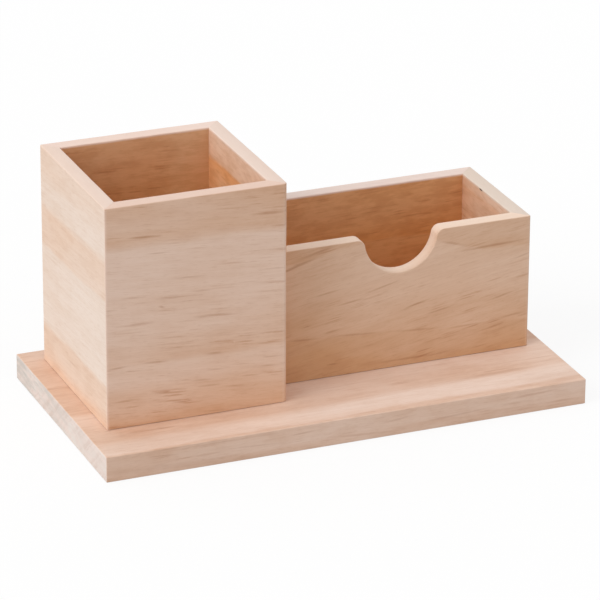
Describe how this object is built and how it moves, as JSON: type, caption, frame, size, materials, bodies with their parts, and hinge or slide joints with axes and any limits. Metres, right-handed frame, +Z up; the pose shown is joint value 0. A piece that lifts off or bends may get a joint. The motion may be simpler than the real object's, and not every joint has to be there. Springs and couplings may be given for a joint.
{
  "type": "pen holder",
  "caption": "Wooden desk organizer: a tall square pen cup and a low open card box with a rounded finger notch, side by side on a flat base board.",
  "frame": {"origin": "on the surface the part stands on, under the centre of the base board", "axes": "+X along the base board from the pen cup towards the card box, +Y from the notched front towards the back, +Z up"},
  "size_m": [0.23, 0.1216, 0.1163],
  "materials": {
    "base_pine": "raw, sanded",
    "cup_pine": "raw, sanded",
    "card_box_pine": "raw, sanded",
    "screw_steel": "yellow zinc plated"
  },
  "bodies": {
    "root": {"base_board": "base_pine", "pen_cup_front_wall": "cup_pine", "pen_cup_right_wall": "cup_pine", "pen_cup_back_wall": "cup_pine", "pen_cup_left_wall": "cup_pine", "card_box_front_wall": "card_box_pine", "card_box_right_wall": "card_box_pine", "card_box_back_wall": "card_box_pine", "card_box_left_wall": "card_box_pine", "pen_cup_front_screw_left": "screw_steel", "pen_cup_front_screw_right": "screw_steel", "pen_cup_back_screw_left": "screw_steel", "pen_cup_back_screw_right": "screw_steel", "card_box_front_screw_left": "screw_steel", "card_box_front_screw_right": "screw_steel", "card_box_back_screw_left": "screw_steel", "card_box_back_screw_right": "screw_steel"}
  },
  "joints": []
}
